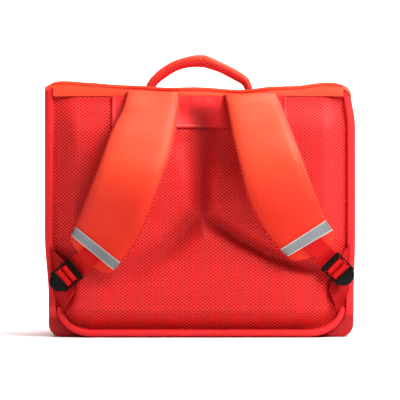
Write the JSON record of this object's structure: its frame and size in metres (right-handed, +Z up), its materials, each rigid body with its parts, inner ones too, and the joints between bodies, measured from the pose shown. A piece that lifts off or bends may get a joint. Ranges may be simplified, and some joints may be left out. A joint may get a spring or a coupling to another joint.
{
  "type": "school ransel (satchel backpack)",
  "caption": "Red school ransel seen from its padded mesh back, with shoulder straps, ladder buckles, grey tape bands, a padded handle and a flap closed over the front",
  "frame": {"origin": "centre of the flat base on the floor, midway between the sides and between the seam of the back and the front", "axes": "+X is the bag's width, to the right in the picture; +Y goes from the padded back to the front flap; +Z is up"},
  "size_m": [0.383, 0.2165, 0.3461],
  "materials": {
    "spacer_mesh": "matte red spacer mesh with small holes",
    "smooth_cloth": "smooth coated red polyester, slight sheen",
    "red_webbing": "ribbed red webbing",
    "grey_tape": "grey reflective tape with pale edges",
    "black_plastic": "moulded black plastic"
  },
  "bodies": {
    "root": {"back_mesh_panel": "spacer_mesh", "yoke_patch": "smooth_cloth", "side_binding_left": "smooth_cloth", "side_binding_right": "smooth_cloth", "bottom_bumper": "smooth_cloth", "gusset": "smooth_cloth", "front_panel": "smooth_cloth", "flap": "smooth_cloth", "top_piping": "smooth_cloth", "clasp_left": "black_plastic", "clasp_right": "black_plastic", "handle_cover": "smooth_cloth", "handle_mesh": "spacer_mesh", "strap_pad_left": "smooth_cloth", "strap_pad_right": "smooth_cloth", "strap_lining_left": "spacer_mesh", "strap_lining_right": "spacer_mesh", "reflective_tape_left": "grey_tape", "reflective_tape_right": "grey_tape", "strap_web_left": "red_webbing", "strap_web_right": "red_webbing", "buckle_left": "black_plastic", "buckle_right": "black_plastic", "anchor_web_left": "red_webbing", "anchor_web_right": "red_webbing", "anchor_wing_left": "smooth_cloth", "anchor_wing_right": "smooth_cloth"}
  },
  "joints": []
}
